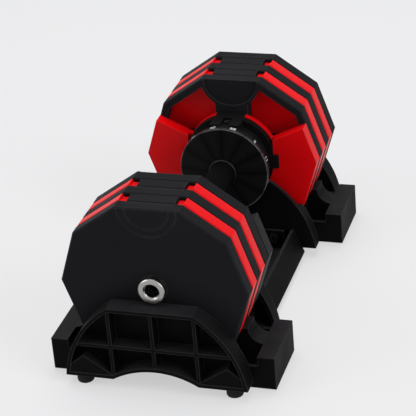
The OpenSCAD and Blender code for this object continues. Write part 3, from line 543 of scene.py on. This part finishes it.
# ---- Feet and inserts ----
# Soft rubber feet screwed under the corners, and brass threaded inserts for fixing
# the cradle to a stand.

foot_rubber = coated(
    "foot_rubber", tint(16, 16, 16), edge_colour=tint(34, 34, 34), specular=0.25,
    tone=(60.0, 0.4), edge_band=(0.0008, 1.0), gloss=(0.7, 0.85, 60.0), skin=(3000.0, 0.00006))
dress(["rubber_feet"], foot_rubber, edge=0.0008)
insert_brass = turned_metal("insert_brass", tint(190, 150, 80), low=0.3, high=0.44)
dress(["mount_inserts"], insert_brass, edge=0.0002)


# ---- Floor, light and camera ----
# A plain pale floor under soft studio lamps, with the camera above the front head and
# a little to the right of the handle.

FLOOR_HALF = 6
FLOOR_DROP = 0.0003
FLOOR_GLOW = 0.62
ROOM_LIGHT = 0.35
LAMP_TARGET = (0, 0, 0.1)
PAPER = tint(240, 240, 241)
BACKDROP = (*tint(241, 241, 242), 1)


def seen_rays(tree):
    """1 for the rays that show a surface as it is, and 0 for the rays that light the object."""
    ray = tree.nodes.new("ShaderNodeLightPath")
    shown = math_node(tree, "MAXIMUM", ray.outputs["Is Camera Ray"], ray.outputs["Is Transmission Ray"])
    return math_node(tree, "MAXIMUM", shown, ray.outputs["Is Glossy Ray"])


def mixed_shaders(tree, share, first, second):
    """Two shaders mixed, with the share of the second one."""
    mixed = tree.nodes.new("ShaderNodeMixShader")
    tree.links.new(share, mixed.inputs["Fac"])
    tree.links.new(first, mixed.inputs[1])
    tree.links.new(second, mixed.inputs[2])
    return mixed.outputs["Shader"]


floor_mesh = bpy.data.meshes.new("floor")
floor_corners = [(x * FLOOR_HALF, y * FLOOR_HALF, 0) for x, y in ((-1, -1), (1, -1), (1, 1), (-1, 1))]
floor_mesh.from_pydata(floor_corners, [], [(0, 1, 2, 3)])
floor = bpy.data.objects.new("floor", floor_mesh)
floor.location.z = -FLOOR_DROP
bpy.context.scene.collection.objects.link(floor)
floor_paper, tree, shader = new_finish("floor_paper", PAPER, specular=0.1)
shader.inputs["Roughness"].default_value = 0.9
drift_colour(tree, shader, PAPER, scale=3.0, amount=0.03)
paper_light = tree.nodes.new("ShaderNodeEmission")
paper_light.inputs["Color"].default_value = BACKDROP
glow = math_node(tree, "MULTIPLY", seen_rays(tree), FLOOR_GLOW)
mixed = mixed_shaders(tree, glow, shader.outputs["BSDF"], paper_light.outputs["Emission"])
tree.links.new(mixed, tree.nodes["Material Output"].inputs["Surface"])
floor_mesh.materials.append(floor_paper)

world = bpy.data.worlds.new("studio")
bpy.context.scene.world = world
world.use_nodes = True
tree = world.node_tree
room = tree.nodes["Background"]
room.inputs["Color"].default_value = (*tint(232, 234, 238), 1)
room.inputs["Strength"].default_value = ROOM_LIGHT
backdrop = tree.nodes.new("ShaderNodeBackground")
backdrop.inputs["Color"].default_value = BACKDROP
mixed = mixed_shaders(tree, seen_rays(tree), room.outputs["Background"], backdrop.outputs["Background"])
tree.links.new(mixed, tree.nodes["World Output"].inputs["Surface"])


def softbox(label, place, width, depth, watts):
    """A soft rectangular lamp aimed at the object."""
    lamp = bpy.data.lights.new(label, "AREA")
    lamp.shape = "RECTANGLE"
    lamp.size = width
    lamp.size_y = depth
    lamp.energy = watts
    stand = bpy.data.objects.new(label, lamp)
    bpy.context.scene.collection.objects.link(stand)
    stand.location = place
    stand.rotation_euler = (Vector(LAMP_TARGET) - Vector(place)).to_track_quat("-Z", "Y").to_euler()


softbox("lamp_above", (-0.2, 0.5, 2.6), width=1.8, depth=1.8, watts=35)
softbox("lamp_left", (-2.2, -1.2, 1.4), width=1.2, depth=1.6, watts=15)
softbox("lamp_right", (2.3, -0.9, 1.5), width=1.2, depth=1.6, watts=26)

view = bpy.data.cameras.new("camera")
view.lens = 160
view.sensor_width = 36
camera = bpy.data.objects.new("camera", view)
bpy.context.scene.collection.objects.link(camera)
place = Vector((0.5729, -1.6984, 1.0586))
across = Vector((0.95699, 0.28003, -0.07583))
up = Vector((-0.06870, 0.47270, 0.87854))
turned = Matrix((across, up, across.cross(up))).transposed().to_4x4()
camera.matrix_world = Matrix.Translation(place) @ turned
bpy.context.scene.camera = camera
bpy.context.scene.view_settings.view_transform = "Standard"
